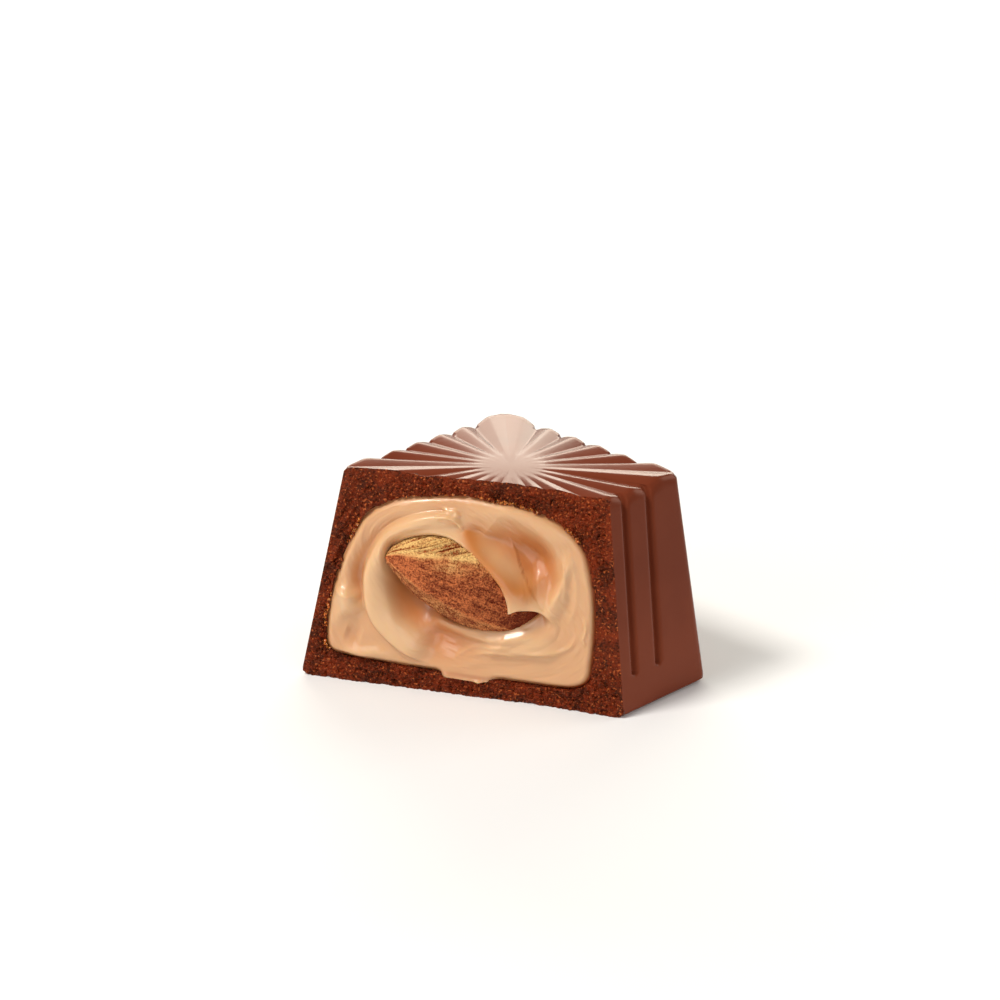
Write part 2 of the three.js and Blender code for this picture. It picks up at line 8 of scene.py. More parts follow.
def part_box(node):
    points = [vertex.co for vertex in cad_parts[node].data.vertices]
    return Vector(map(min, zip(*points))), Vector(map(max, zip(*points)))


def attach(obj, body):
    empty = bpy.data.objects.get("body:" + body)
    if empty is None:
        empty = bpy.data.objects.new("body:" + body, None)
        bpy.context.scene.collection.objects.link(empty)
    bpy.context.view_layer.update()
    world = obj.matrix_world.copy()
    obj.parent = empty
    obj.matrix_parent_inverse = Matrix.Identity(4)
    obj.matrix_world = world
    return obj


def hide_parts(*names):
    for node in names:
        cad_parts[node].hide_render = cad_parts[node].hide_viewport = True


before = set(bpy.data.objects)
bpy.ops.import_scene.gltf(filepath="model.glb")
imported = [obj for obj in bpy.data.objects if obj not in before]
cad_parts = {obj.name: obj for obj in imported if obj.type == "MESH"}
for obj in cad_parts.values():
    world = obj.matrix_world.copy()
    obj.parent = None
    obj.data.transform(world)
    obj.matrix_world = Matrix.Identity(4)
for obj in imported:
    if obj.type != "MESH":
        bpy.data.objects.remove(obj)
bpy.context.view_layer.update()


# ---------------------------------------------------------------- the chocolate shell
# A block of milk chocolate cast in a square mould: a sunburst of flutes round a small disc on top, and
# narrow upright grooves that run down from the valleys. It is cut across with a knife, and the cut is
# broken and crumbly. Lengths are in millimetres, with X along the cut, -Y out of it and Z up.
MM = 0.001
BASE_HALF = 15.1
TOP_HALF = 12.0
TOP_HEIGHT = 23.4
CORNER_RADIUS = (1.1, 0.8)
BASE_ROUND = 0.8
RIM_ROUND = 0.5
DISC_RADIUS = 2.9
VALLEY_SLOPE = (0.075, 0.075, 0.075, 0.028)
CREST_SLOPE = (0.03, 0.03, 0.01)
FLUTE_CREST = 1.3
GROOVE_AT_TOP = (0.0, 3.5, 7.15)
GROOVE_AT_FOOT = (0.0, 3.7, 7.4)
GROOVE_FOOT = 3.8
GROOVE_DEPTH = 0.65
GROOVE_SECTION = ((0.0, 0.2, 0.42, 0.6), (1.0, 0.85, 0.12, 0.0))
BLOCK_TURN = math.radians(-29.6)
CUT_DISTANCE = 5.54
CUT_LEAN = 0.047
CUT_CURL = (0.45, 5.0, 14.0)
WALL_BEHIND = 2.4
COLUMN_SPACING = 0.28
FOOT_ROWS = 14
RIM_TURNS = (22, 45, 68)


def lerp(low, high, share):
    return low + (high - low) * share


def smooth(low, high, value):
    share = np.clip((value - low) / (high - low), 0.0, 1.0)
    return share * share * (3.0 - 2.0 * share)


def block_half(z):
    return lerp(BASE_HALF, TOP_HALF, z / TOP_HEIGHT)


def corner_radius(z):
    return lerp(CORNER_RADIUS[0], CORNER_RADIUS[1], z / TOP_HEIGHT)


def top_height(distance, direction):
    """Height of the top at a distance from its middle; direction 0 is the middle of a side."""
    angle = np.minimum(np.abs(direction), math.pi / 4)
    valleys = np.array([math.atan2(across, TOP_HALF) for across in GROOVE_AT_TOP] + [math.pi / 4])
    lobe = np.clip(np.searchsorted(valleys, angle), 1, 3)
    place = (angle - valleys[lobe - 1]) / (valleys[lobe] - valleys[lobe - 1])
    crest = np.array(CREST_SLOPE)[lobe - 1]
    valley = np.array(VALLEY_SLOPE)[np.where(place < 0.5, lobe - 1, lobe)]
    slope = lerp(crest, valley, np.abs(2 * place - 1) ** FLUTE_CREST)
    return TOP_HEIGHT - slope * np.maximum(distance - DISC_RADIUS, 0.0)


def groove_depth(across, z):
    """How deep the grooves cut into a side, with their feet rounded off."""
    run = (TOP_HEIGHT - z) / (TOP_HEIGHT - GROOVE_FOOT)
    depth = np.zeros_like(across)
    for top, foot in zip(GROOVE_AT_TOP, GROOVE_AT_FOOT):
        for sign in (-1, 1):
            aside = np.abs(across - sign * lerp(top, foot, run))
            below = np.maximum(GROOVE_FOOT + GROOVE_SECTION[0][-1] - z, 0.0)
            share = np.interp(np.hypot(aside, below), *GROOVE_SECTION)
            depth = np.maximum(depth, GROOVE_DEPTH * share)
    return depth


def side_columns():
    """Places across a side, as (across at the top, across at the foot, angle round the corner)."""
    groove_half = GROOVE_SECTION[0][-1]
    near_groove = np.linspace(-groove_half, groove_half, 17)
    columns = [(None, None, -angle) for angle in np.linspace(45, 0, 6)]
    right = list(zip(GROOVE_AT_TOP, GROOVE_AT_FOOT))
    lines = [(-top, -foot) for top, foot in right[:0:-1]] + right
    edge = (TOP_HALF - CORNER_RADIUS[1], block_half(GROOVE_FOOT) - corner_radius(GROOVE_FOOT))
    last = (-edge[0], -edge[1])
    for top, foot in lines + [edge]:
        lead = near_groove[0] if (top, foot) in lines else 0.0
        start = (last[0] - near_groove[0], last[1] - near_groove[0]) if last in lines else last
        count = max(int((top - start[0]) / COLUMN_SPACING), 4)
        for step in range(1, count):
            share = step / count
            columns.append((lerp(start[0], top + lead, share), lerp(start[1], foot + lead, share), None))
        if (top, foot) in lines:
            columns += [(top + offset, foot + offset, None) for offset in near_groove]
        last = (top, foot)
    columns += [(None, None, angle) for angle in np.linspace(0, 36, 5)]
    return columns


def column_points(column):
    """One column of the block, from the disc over the rim and down a side: out, across and up."""
    top, foot, corner = column
    foot_rows = GROOVE_FOOT + np.linspace(0.75, -0.1, FOOT_ROWS)
    rim_turns = np.radians(RIM_TURNS)

    def place(z):
        half = block_half(z)
        if corner is None:
            across = lerp(top, foot, (TOP_HEIGHT - z) / (TOP_HEIGHT - GROOVE_FOOT))
            return half - groove_depth(across, z), across
        turn = math.radians(abs(corner))
        radius = corner_radius(z)
        across = half - radius * (1 - math.sin(turn))
        return half - radius * (1 - math.cos(turn)), math.copysign(1, corner) * across

    rim_out, rim_across = place(np.array([TOP_HEIGHT]))
    direction = math.atan2(rim_across[0], rim_out[0])
    rim = math.hypot(rim_across[0], rim_out[0])
    distance = lerp(DISC_RADIUS, rim - RIM_ROUND, np.linspace(0, 1, 26))
    distance = np.append(distance, rim - RIM_ROUND * (1 - np.sin(rim_turns)))
    height = top_height(distance, np.full_like(distance, direction))
    height[-len(RIM_TURNS):] -= RIM_ROUND * (1 - np.cos(rim_turns))
    ray = np.stack([distance * math.cos(direction), distance * math.sin(direction), height], axis=1)
    shoulder = top_height(np.array([rim]), np.array([direction]))[0] - RIM_ROUND
    levels = np.concatenate([np.linspace(shoulder, GROOVE_FOOT + 1.0, 18), foot_rows, [BASE_ROUND]])
    out, across = place(levels)
    wall = np.stack([out, across, levels], axis=1)
    out, across = place(np.array([0.0]))
    low = []
    for turn in np.radians([30, 60, 90]):
        inset = BASE_ROUND * (1 - math.cos(turn))
        low.append((out[0] - inset, across[0] * (1 - inset / BASE_HALF), BASE_ROUND * (1 - math.sin(turn))))
    return np.concatenate([ray, wall, np.array(low)])


def new_mesh(name, points, faces):
    mesh = bpy.data.meshes.new(name)
    mesh.from_pydata(np.asarray(points, float).reshape(-1, 3).tolist(), [], faces)
    mesh.validate()
    return mesh


def new_object(name, mesh):
    made = bpy.data.objects.new(name, mesh)
    bpy.context.collection.objects.link(made)
    return made


def strip(first, second, count, closed=True):
    """Quads between two rows of a mesh, given where each row starts."""
    steps = count if closed else count - 1
    return [(first + n, second + n, second + (n + 1) % count, first + (n + 1) % count) for n in range(steps)]


def block_mesh():
    columns = side_columns()
    sides = [column_points(column) for column in columns]
    rows = len(sides[0])
    points = []
    for side in range(4):
        turn = side * math.pi / 2 + BLOCK_TURN
        for column in sides:
            out, across, z = column.T
            points.append(np.stack([out * math.cos(turn) - across * math.sin(turn),
                                    out * math.sin(turn) + across * math.cos(turn), z], axis=1))
    points = np.array(points)
    around = len(points)
    faces = []
    for row in range(rows - 1):
        for n in range(around):
            after = (n + 1) % around
            faces.append((n * rows + row, n * rows + row + 1, after * rows + row + 1, after * rows + row))
    middle = around * rows
    for n in range(around):
        after = (n + 1) % around
        faces.append((middle, n * rows, after * rows))
        faces.append((middle + 1, after * rows + rows - 1, n * rows + rows - 1))
    ends = np.array([[0, 0, TOP_HEIGHT], [0, 0, 0]], float)
    return np.concatenate([points.reshape(-1, 3), ends]), faces


def lattice(i, j, seed):
    value = np.sin(i * 127.1 + j * 311.7 + seed * 74.7) * 43758.5453
    return value - np.floor(value)


def noise(x, z, seed, wrap=4096):
    """Smooth noise between -1 and 1 over a plane, repeated every so many cells along x."""
    i, j = np.floor(x), np.floor(z)
    a, b = smooth(0, 1, x - i), smooth(0, 1, z - j)
    i, after = i % wrap, (i + 1) % wrap
    low = lerp(lattice(i, j, seed), lattice(after, j, seed), a)
    high = lerp(lattice(i, j + 1, seed), lattice(after, j + 1, seed), a)
    return 2 * lerp(low, high, b) - 1


def grains(x, z, seed):
    """Rounded grains, 1 in the middle of each and falling to 0 between them."""
    i, j = np.floor(x), np.floor(z)
    nearest = np.full(x.shape, 9.0)
    for di in (-1, 0, 1):
        for dj in (-1, 0, 1):
            px = i + di + 0.15 + 0.7 * lattice(i + di, j + dj, seed)
            pz = j + dj + 0.15 + 0.7 * lattice(i + di, j + dj, seed + 0.5)
            nearest = np.minimum(nearest, (x - px) ** 2 + (z - pz) ** 2)
    return 1.0 - np.minimum(nearest, 1.0)


def cut_depth(x, z):
    curl, start, end = CUT_CURL
    return -CUT_DISTANCE + CUT_LEAN * z - curl * smooth(start, end, x)


def skin_distance(x, y, z):
    """How far a place lies inside the block's sides."""
    out = np.abs(x * math.cos(BLOCK_TURN) + y * math.sin(BLOCK_TURN))
    across = np.abs(y * math.cos(BLOCK_TURN) - x * math.sin(BLOCK_TURN))
    return block_half(z) - np.maximum(out, across)


CRUMB_CELL = 0.085
CRUMBS = ((1.1, 0.24, 1), (0.6, 0.3, 2), (0.33, 0.3, 3))  # size, height and seed
KNIFE_SLANT = math.radians(30)
CUT_ACROSS = (-22.0, 16.0)
CUT_UP = (-0.8, 24.8)


def crumb_height(x, z):
    """Relief of the broken chocolate: crumbs of three sizes, and knife marks at the upper left."""
    crumbs = 0.06 * noise(x / 2.3, z / 2.3, 5)
    for size, height, seed in CRUMBS:
        crumbs = crumbs + height * (grains(x / size, z / size, seed) - 0.75)
    across = x * math.cos(KNIFE_SLANT) - z * math.sin(KNIFE_SLANT)
    along = x * math.sin(KNIFE_SLANT) + z * math.cos(KNIFE_SLANT)
    marks = 0.26 * noise(across / 0.5, along / 2.6, 7) + 0.16 * noise(across / 0.24, along / 1.4, 8)
    marked = smooth(-9.5, -13.0, x) * smooth(8, 13, z)
    smoothed = smooth(9.5, 10.6, x) * smooth(4, 6, z) * smooth(15, 13, z)
    rough = (1 - 0.65 * smoothed) * (1 - 0.75 * smooth(22.2, 23.2, z))
    rough = rough * lerp(0.25, 1.0, smooth(0.0, 1.0, skin_distance(x, cut_depth(x, z), z)))
    return rough * lerp(crumbs, marks + 0.35 * crumbs, 0.8 * marked)


def front_of_cut():
    """Everything in front of the cut, as a closed mesh to take away."""
    xs = np.arange(*CUT_ACROSS, CRUMB_CELL)
    zs = np.arange(*CUT_UP, CRUMB_CELL)
    x, z = np.meshgrid(xs, zs)
    near = np.stack([x, cut_depth(x, z) - crumb_height(x, z), z], axis=2)
    far = np.stack([x, np.full_like(x, -2 * BASE_HALF), z], axis=2)
    points = np.concatenate([near.reshape(-1, 3), far.reshape(-1, 3)])
    across, up = len(xs), len(zs)
    index = np.arange(across * up).reshape(up, across)
    a, b = index[:-1, :-1].ravel(), index[:-1, 1:].ravel()
    c, d = index[1:, 1:].ravel(), index[1:, :-1].ravel()
    faces = np.stack([a, d, c, b], axis=1).tolist()
    border = np.concatenate([index[0, :-1], index[:-1, -1], index[-1, :0:-1], index[:0:-1, 0]])
    shift = across * up
    count = len(border)
    for n in range(count):
        this, after = int(border[n]), int(border[(n + 1) % count])
        faces.append((this, after, after + shift, this + shift))
    far_index = index + shift
    a, b = far_index[:-1, :-1].ravel(), far_index[:-1, 1:].ravel()
    c, d = far_index[1:, 1:].ravel(), far_index[1:, :-1].ravel()
    faces += np.stack([a, b, c, d], axis=1).tolist()
    return points, faces


def bezier(start, first, second, end, count):
    t = np.linspace(0, 1, count, endpoint=False)[:, None]
    start, first, second, end = (np.array(p, float) for p in (start, first, second, end))
    return ((1 - t) ** 3 * start + 3 * t * (1 - t) ** 2 * first
            + 3 * t * t * (1 - t) * second + t ** 3 * end)


FILLING_OUTLINE = np.concatenate([
    bezier((-8.5, 2.3), (-3.7, 2.23), (1.2, 2.17), (6.0, 2.1), 70),
    bezier((6.0, 2.1), (8.6, 2.1), (10.1, 2.5), (10.3, 4.4), 36),
    bezier((10.3, 4.4), (10.6, 8.0), (10.6, 12.6), (9.2, 16.6), 60),
    bezier((9.2, 16.6), (7.6, 20.0), (3.5, 21.4), (-2.5, 21.4), 70),
    bezier((-2.5, 21.4), (-7.0, 21.4), (-12.3, 20.6), (-14.2, 17.8), 62),
    bezier((-14.2, 17.8), (-15.6, 15.0), (-17.6, 10.5), (-17.7, 5.0), 62),
    bezier((-17.7, 5.0), (-17.7, 3.4), (-17.3, 2.8), (-16.0, 2.75), 22),
    bezier((-16.0, 2.75), (-13.3, 2.5), (-10.8, 2.35), (-8.5, 2.3), 40),
])


def outward(outline):
    along = np.roll(outline, -1, axis=0) - np.roll(outline, 1, axis=0)
    along /= np.linalg.norm(along, axis=1)[:, None]
    return np.stack([along[:, 1], -along[:, 0]], axis=1)


def wall_behind(outline):
    """The outline carried back along the block's sides to the wall behind the filling."""
    x, z = outline.T
    along = np.array([-math.sin(BLOCK_TURN), math.cos(BLOCK_TURN)])
    run = block_half(z) - WALL_BEHIND - (x * along[0] + cut_depth(x, z) * along[1])
    return np.stack([x + run * along[0], cut_depth(x, z) + run * along[1], z], axis=1)


def hollow_rows(outline, front):
    """Rows of the hollow: in front of the cut, on it, a little behind it, and at the wall behind."""
    ragged = 0.1 * noise(outline[:, 0] / 0.5, outline[:, 1] / 0.5, 11)
    ragged = ragged + 0.07 * noise(outline[:, 0] / 0.22, outline[:, 1] / 0.22, 12)
    torn = outline + outward(outline) * ragged[:, None]
    rows = []
    for ring, depth in ((torn, -front), (torn, 0.25), (outline, 0.9)):
        rows.append(np.stack([ring[:, 0], cut_depth(*ring.T) + depth, ring[:, 1]], axis=1))
    rows.append(wall_behind(outline))
    return rows


HOLLOW_FRONT = 4.0


def hollow_mesh():
    rows = hollow_rows(FILLING_OUTLINE, HOLLOW_FRONT)
    count = len(FILLING_OUTLINE)
    faces = []
    for row in range(len(rows) - 1):
        faces += strip(row * count, (row + 1) * count, count)
    faces.append(tuple(range(count)))
    faces.append(tuple(reversed(range((len(rows) - 1) * count, len(rows) * count))))
    return np.concatenate(rows), faces


def cut_away(body, *tools):
    for number, tool in enumerate(tools):
        cut = body.modifiers.new(f"cut_{number}", "BOOLEAN")
        cut.operation = "DIFFERENCE"
        cut.solver = "MANIFOLD"
        cut.object = tool
    evaluated = body.evaluated_get(bpy.context.evaluated_depsgraph_get())
    mesh = bpy.data.meshes.new_from_object(evaluated)
    body.modifiers.clear()
    body.data = mesh
    for tool in tools:
        bpy.data.objects.remove(tool)


shell = new_object("chocolate_shell", new_mesh("chocolate_shell", *block_mesh()))
cutters = [new_object("front", new_mesh("front", *front_of_cut())),
           new_object("hollow", new_mesh("hollow", *hollow_mesh()))]
cut_away(shell, *cutters)


def coordinates(mesh):
    places = np.empty(len(mesh.vertices) * 3)
    mesh.vertices.foreach_get("co", places)
    return places.reshape(-1, 3)


# Where the cut frame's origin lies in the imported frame, from the back corner of the block.
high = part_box("shell")[1]
BACK = coordinates(shell.data)[:, 1].max()
PLACE = np.array([0.0, high.y / MM - BACK, 0.0])


def settle(piece):
    """Puts a piece made in the cut frame, in millimetres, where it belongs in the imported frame."""
    places = (coordinates(piece.data) + PLACE) * MM
    piece.data.vertices.foreach_set("co", places.ravel())
    piece.data.update()


def faces_of(mesh):
    centres = np.empty(len(mesh.polygons) * 3)
    normals = np.empty(len(mesh.polygons) * 3)
    mesh.polygons.foreach_get("center", centres)
    mesh.polygons.foreach_get("normal", normals)
    return centres.reshape(-1, 3), normals.reshape(-1, 3)


# The broken faces are those on the cut, short of the moulded skin and the top, and those in the hollow.
ON_THE_CUT = 0.12
IN_THE_SKIN = 0.02
FACING_UP = 0.93
HOLLOW_WALL = 1.2
HOLLOW_HEIGHT = (1.0, 21.6)
SHARP_ANGLE = math.radians(38)

centres, normals = faces_of(shell.data)
x, y, z = centres.T
under_skin = skin_distance(x, y, z)
off_the_cut = np.abs(y - cut_depth(x, z) + crumb_height(x, z))
broken = (off_the_cut < ON_THE_CUT) & (under_skin > IN_THE_SKIN) & (normals[:, 2] < FACING_UP)
broken |= (under_skin > HOLLOW_WALL) & (z > HOLLOW_HEIGHT[0]) & (z < HOLLOW_HEIGHT[1])
shell.data.shade_smooth()
shell.data.set_sharp_from_angle(angle=SHARP_ANGLE)
settle(shell)


class Tone:
    """One output of a material's nodes. Sums and products of it add Math nodes."""

    def __init__(self, tree, socket=None):
        self.tree = tree
        self.socket = socket

    def node(self, kind, inputs=None, output=0, **settings):
        made = self.tree.nodes.new("ShaderNode" + kind)
        for name, value in settings.items():
            setattr(made, name, value)
        for key, value in (inputs or {}).items():
            if isinstance(value, Tone):
                self.tree.links.new(value.socket, made.inputs[key])
            else:
                made.inputs[key].default_value = value
        return Tone(self.tree, made.outputs[output])

    def __add__(self, other):
        return self.node("Math", {0: self, 1: other}, operation="ADD")

    __radd__ = __add__

    def __mul__(self, other):
        return self.node("Math", {0: self, 1: other}, operation="MULTIPLY")

    __rmul__ = __mul__

    def between(self, low, high):
        """0 below low, 1 above high and smooth in between."""
        inputs = {"Value": self, "From Min": low, "From Max": high}
        return self.node("MapRange", inputs, interpolation_type="SMOOTHSTEP")

    def mix(self, first, second):
        """Mixes two colours, with this value as the share of the second."""
        return self.node("Mix", {0: self, 6: first, 7: second}, output=2, data_type="RGBA")

    def noise(self, place, scale, detail=2.0, roughness=0.5):
        inputs = {"Vector": place, "Scale": scale, "Detail": detail, "Roughness": roughness}
        return self.node("TexNoise", inputs)

    def bump(self, height, strength, distance):
        return self.node("Bump", {"Height": height, "Strength": strength, "Distance": distance})


def new_material(name, **constants):
    """A material with its surface's constant sockets set; gives it, a Tone and the surface node."""
    material = bpy.data.materials.new(name)
    material.use_nodes = True
    surface = material.node_tree.nodes["Principled BSDF"]
    for socket, value in constants.items():
        surface.inputs[socket.replace("_", " ")].default_value = value
    return material, Tone(material.node_tree), surface


def feed(tone, surface, **links):
    for socket, value in links.items():
        tone.tree.links.new(value.socket, surface.inputs[socket.replace("_", " ")])


def linear(red, green, blue):
    """A colour as it is seen on a screen, 0 to 255, as the renderer's own numbers."""
    shares = [value / 255 for value in (red, green, blue)]
    return (*(share / 12.92 if share < 0.0405 else ((share + 0.055) / 1.055) ** 2.4 for share in shares), 1.0)


skin, tone, surface = new_material(
    "moulded_milk_chocolate", Specular_IOR_Level=0.12, Specular_Tint=(1.0, 0.5, 0.3, 1.0))
place = tone.node("TexCoord", output="Object")
cloud = tone.noise(place, 90.0, 3.0)
fine = tone.noise(place, 1400.0, 2.0)
feed(tone, surface,
     Base_Color=cloud.between(0.3, 0.7).mix(linear(106, 47, 29), linear(118, 55, 35)),
     Roughness=0.17 + 0.12 * cloud,
     Normal=tone.bump(cloud + 0.12 * fine, 0.2, 0.0002))

crumbly, tone, surface = new_material(
    "broken_milk_chocolate", Specular_IOR_Level=0.45, Specular_Tint=(1.0, 0.4, 0.2, 1.0))
place = tone.node("TexCoord", output="Object")
grain = tone.noise(place, 3200.0, 3.0, 0.6)
patch = tone.noise(place, 500.0, 3.0, 0.6)
# Painted glints: small light orange dots that stand in for highlights on the broken grains.
painted_glint = tone.noise(place, 4600.0, 0.0)
# Painted shade: the broken chocolate is darker where its bump dips, in the crevices between grains, over a
# random tone from the grain and patches.
grain_with_painted_shade = (0.5 * patch + 0.5 * grain).between(0.38, 0.62).mix(linear(50, 8, 2), linear(114, 36, 11))
feed(tone, surface,
     Base_Color=(0.8 * painted_glint.between(0.66, 0.76)).mix(grain_with_painted_shade, linear(186, 96, 50)),
     Roughness=0.12 + 0.35 * grain,
     Normal=tone.bump(grain + 0.8 * patch, 1.0, 0.0004))

shell.data.materials.clear()
shell.data.materials.append(skin)
shell.data.materials.append(crumbly)
shell.data.polygons.foreach_set("material_index", broken.astype(np.int32))
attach(shell, "root")
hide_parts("shell")


# ---------------------------------------------------------------- the almond
# A whole kernel in its skin, pressed into the cream with its point to the upper left. The skin is dry and
# wrinkled above a long keel, and grainy below it. Its colour is painted light and shade: tan above
# the keel, as if lit from above, and darker brown below it, as if in shade. Directions round the girth are
# in degrees from its upper side towards its front, and t runs along it from the point to the blunt end.
ALMOND_LENGTH = 17.6
ALMOND_WIDTH = 9.4
ALMOND_THICKNESS = 6.6
ALMOND_BOW = 1.2
ALMOND_GIRTH = (0.66, 0.5)  # powers that shape the point and the blunt end
ALMOND_KEEL = (66, 60)  # direction of the keel at the point, and how fast it climbs with t
ALMOND_SEAM = 112
WRINKLES = ((30, 1.8, 0.2, 21), (60, 3, 0.5, 22), (120, 6, 0.4, 23))  # round, along, share and seed
ALMOND_MIDDLE = (-3.35, -1.2, 11.2)
ALMOND_TILT = math.radians(-19)
ALMOND_SINK = math.radians(10)
ALMOND_ROLL = math.radians(6)


def almond_girth(t):
    point, blunt = ALMOND_GIRTH
    widest = point / (point + blunt)
    return t ** point * (1 - t) ** blunt / (widest ** point * (1 - widest) ** blunt)


def almond_bow(t):
    return ALMOND_BOW * (1.2 - t) * np.sqrt(almond_girth(t))


def almond_front(x, z, grow):
    """How far the almond, grown all round, stands out of the cut, or far behind it beside the almond."""
    dx, dz = x - ALMOND_MIDDLE[0], z - ALMOND_MIDDLE[2]
    along = dx * math.cos(ALMOND_TILT) + dz * math.sin(ALMOND_TILT)
    t = 0.5 + along / (ALMOND_LENGTH * math.cos(ALMOND_SINK) + 2 * grow)
    inside = np.clip(t, 1e-4, 1 - 1e-4)
    girth = almond_girth(inside)
    across = dz * math.cos(ALMOND_TILT) - dx * math.sin(ALMOND_TILT) - almond_bow(inside)
    share = 1 - (across / (girth * ALMOND_WIDTH / 2 + grow)) ** 2
    middle = ALMOND_MIDDLE[1] - along * math.tan(ALMOND_SINK)
    front = middle + (girth * ALMOND_THICKNESS / 2 + grow) * np.maximum(share, 0.0)
    return np.where((share > 0) & (t > 0) & (t < 1), front, -99.0)


def almond_mesh():
    along, around = 210, 400
    t = (0.5 - 0.5 * np.cos(np.pi * np.arange(1, along) / along))[:, None]
    degrees = (360 * np.arange(around) / around)[None, :]
    angle = np.radians(degrees)
    girth = almond_girth(t)
    from_keel = degrees - (ALMOND_KEEL[0] - ALMOND_KEEL[1] * np.minimum(t, 0.7))
    shoulder = 1.0 + 0.09 * np.exp(-np.hypot(from_keel, 3) / 16)
    shoulder = shoulder + 0.05 * np.exp(-(((degrees - ALMOND_SEAM) / 12) ** 2))
    wander = 5 * noise(degrees / 30, t * 5, 20, 12)
    upper = smooth(4, -4, from_keel) + smooth(250, 290, degrees)
    fan = np.zeros_like(degrees + t)
    swept = degrees + wander + 150 * t * upper
    for cells, along_cells, share, seed in WRINKLES:
        fan = fan + share * (1 - 2.6 * np.abs(noise(swept * cells / 360, t * along_cells, seed, cells)))
    fan = fan * (1 - 0.95 * np.exp(-((from_keel / 5) ** 2)))
    pits = noise(degrees / 1.8, t * 70, 24, 200) + noise(degrees / 1.2, t * 120, 25, 300)
    wrinkles = lerp(0.08, 0.3, upper * smooth(0.66, 0.54, t)) * fan
    collar = 0.14 * np.exp(-(((t - 0.022) / 0.012) ** 2)) * (1 + 0.4 * noise(degrees / 24, t * 90, 26, 15))
    relief = (wrinkles + 0.08 * pits * girth) * np.sin(np.pi * t) ** 0.5 + collar
    width = girth * shoulder * ALMOND_WIDTH / 2 + relief
    thickness = girth * shoulder * ALMOND_THICKNESS / 2 + relief
    x = np.broadcast_to((t - 0.5) * ALMOND_LENGTH, width.shape)
    y = -thickness * np.sin(angle)
    z = width * np.cos(angle) + almond_bow(t)
    points = np.stack([x, y, z], axis=2).reshape(-1, 3)
    ends = np.array([[-ALMOND_LENGTH / 2, 0, 0], [ALMOND_LENGTH / 2, 0, 0]])
    points = np.concatenate([points, ends])
    faces = []
    for row in range(along - 2):
        faces += [face[::-1] for face in strip(row * around, (row + 1) * around, around)]
    last = (along - 2) * around
    for n in range(around):
        after = (n + 1) % around
        faces.append((len(points) - 2, after, n))
        faces.append((len(points) - 1, last + n, last + after))
    turn = (Matrix.Rotation(-ALMOND_TILT, 3, "Y") @ Matrix.Rotation(ALMOND_SINK, 3, "Z")
            @ Matrix.Rotation(ALMOND_ROLL, 3, "X"))
    points = points @ np.array(turn).T
    x, out, z = ALMOND_MIDDLE
    points += np.array([x, cut_depth(x, z) - out, z])
    # Painted light: the face above the keel is painted as the lit side, with a painted highlight along the
    # low bulge at ALMOND_SEAM and a lighter band below the keel, in random patches.
    patches = 0.6 + 0.5 * noise(degrees / 12, t * 12, 27, 30)
    streak = 0.6 * np.exp(-(((from_keel - 16) / 9) ** 2)) * smooth(0.15, 0.35, t) * smooth(0.85, 0.6, t)
    painted_seam_highlight = 0.38 * smooth(-4, 1, degrees - ALMOND_SEAM) * smooth(200, 140, degrees) * smooth(0.95, 0.7, t)
    above_keel = smooth(12, -6, from_keel + 6 * noise(t * 16, degrees / 20, 28)) + smooth(250, 290, degrees)
    painted_light = np.clip(above_keel + (streak + painted_seam_highlight) * patches, 0, 1)
    # Painted light in the wrinkles' colour share: lighter on the upper face, painted highlights along the
    # keel and along the low bulge at ALMOND_SEAM, and painted shade at the blunt end under the cream.
    fan = fan * lerp(0.3, 1.0, upper) + 0.2 * upper + 0.9 * np.exp(-((from_keel / 2.5) ** 2))
    fan = fan + 0.5 * np.exp(-(((degrees - ALMOND_SEAM) / 2.5) ** 2))
    fan = fan - 1.2 * smooth(0.68, 0.92, t)
    marks = [np.append(values.ravel(), [0.5, 0.5]) for values in (fan, painted_light)]
    return points, faces, marks


def set_attribute(mesh, name, values):
    layer = mesh.attributes.new(name, "FLOAT", "POINT")
    layer.data.foreach_set("value", np.asarray(values, float).ravel())


points, faces, (fan, painted_light) = almond_mesh()
almond = new_object("whole_almond", new_mesh("whole_almond", points, faces))
set_attribute(almond.data, "wrinkles_and_painted_light", fan)
set_attribute(almond.data, "painted_light", painted_light)
almond.data.shade_smooth()
settle(almond)

husk, tone, surface = new_material("almond_skin", Specular_IOR_Level=0.15)
place = tone.node("TexCoord", output="Object")
wrinkles_and_painted_light = tone.node("Attribute", output="Fac", attribute_name="wrinkles_and_painted_light")
painted_light = tone.node("Attribute", output="Fac", attribute_name="painted_light")
dust = tone.noise(place, 1100.0, 3.0, 0.65)
grain = tone.noise(place, 5400.0, 2.0, 0.6)
# Colour share from the wrinkles, with their painted highlights and painted shade, and from fine dust and
# grain.
height = 0.5 * wrinkles_and_painted_light + 0.3 * dust.between(0.35, 0.65) + 0.45 * grain.between(0.36, 0.64)
height = height.between(-0.05, 0.8)
# Painted light and shade: the skin's colour comes as a shaded copy below the keel and a lit copy above it.
painted_shaded_skin = height.mix(linear(116, 42, 18), linear(220, 124, 72))
painted_lit_skin = height.mix(linear(168, 68, 20), linear(255, 208, 132))
feed(tone, surface,
     Base_Color=painted_light.mix(painted_shaded_skin, painted_lit_skin),
     Roughness=0.5 + 0.2 * dust,
     Normal=tone.bump(grain + dust, 1.0, 0.00045))
almond.data.materials.append(husk)
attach(almond, "root")
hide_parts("almond")


